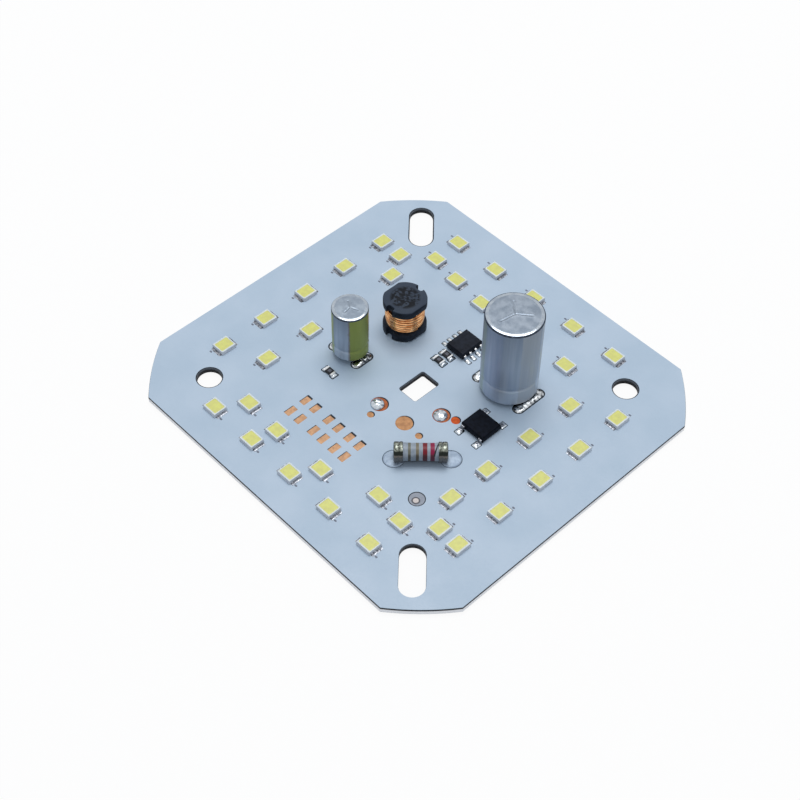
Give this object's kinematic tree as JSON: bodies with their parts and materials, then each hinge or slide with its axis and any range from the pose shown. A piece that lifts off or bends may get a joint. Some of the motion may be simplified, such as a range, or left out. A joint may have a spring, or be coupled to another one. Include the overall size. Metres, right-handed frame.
{
  "type": "driver-on-board led module",
  "caption": "Aluminium-cored LED board, rectangular with round corners, with its mains driver parts soldered in the middle of the lit face inside two rings of LEDs.",
  "frame": {"origin": "middle of the board's underside", "axes": "+Z out of the lit face, +X along the board's longer side"},
  "size_m": [0.0742, 0.0706, 0.019],
  "materials": {
    "board": "pale blue-grey solder mask over an aluminium plate",
    "copper": "bare treated copper foil",
    "led": "white moulded housing filled with yellow phosphor",
    "can": "drawn aluminium, satin",
    "rubber": "moulded rubber",
    "tinned_leads": "tin plated",
    "ferrite": "fired ferrite, dull grey, with a black ink patch",
    "enamelled_wire": "enamelled copper wire",
    "black_epoxy": "moulded black epoxy, matt",
    "resistor_ceramic": "glazed black ceramic",
    "resistor_coating": "pale grey-blue lacquer with colour bands",
    "solder": "bright solder"
  },
  "bodies": {
    "root": {"bridge_rectifier_body": "black_epoxy", "bridge_rectifier_leads": "tinned_leads", "bulk_capacitor_can": "can", "bulk_capacitor_leads": "tinned_leads", "bulk_capacitor_seal": "rubber", "chip_resistor_bodies": "resistor_ceramic", "chip_resistor_ends": "tinned_leads", "circuit_board": "board", "copper_lands": "copper", "driver_chip_body": "black_epoxy", "driver_chip_leads": "tinned_leads", "filter_capacitor_can": "can", "filter_capacitor_leads": "tinned_leads", "filter_capacitor_seal": "rubber", "fusible_resistor_body": "resistor_coating", "fusible_resistor_caps": "tinned_leads", "inductor_core": "ferrite", "inductor_terminals": "tinned_leads", "inductor_winding": "enamelled_wire", "led_inner_bottom_1": "led", "led_inner_bottom_2": "led", "led_inner_bottom_3": "led", "led_inner_bottom_4": "led", "led_inner_bottom_5": "led", "led_inner_left_1": "led", "led_inner_left_2": "led", "led_inner_left_3": "led", "led_inner_left_4": "led", "led_inner_left_5": "led", "led_inner_right_1": "led", "led_inner_right_2": "led", "led_inner_right_3": "led", "led_inner_right_4": "led", "led_inner_right_5": "led", "led_inner_top_1": "led", "led_inner_top_2": "led", "led_inner_top_3": "led", "led_inner_top_4": "led", "led_inner_top_5": "led", "led_outer_bottom_1": "led", "led_outer_bottom_2": "led", "led_outer_bottom_3": "led", "led_outer_bottom_4": "led", "led_outer_bottom_5": "led", "led_outer_left_1": "led", "led_outer_left_2": "led", "led_outer_left_3": "led", "led_outer_left_4": "led", "led_outer_left_5": "led", "led_outer_right_1": "led", "led_outer_right_2": "led", "led_outer_right_3": "led", "led_outer_right_4": "led", "led_outer_right_5": "led", "led_outer_top_1": "led", "led_outer_top_2": "led", "led_outer_top_3": "led", "led_outer_top_4": "led", "led_outer_top_5": "led", "solder_joints": "solder"}
  },
  "joints": []
}
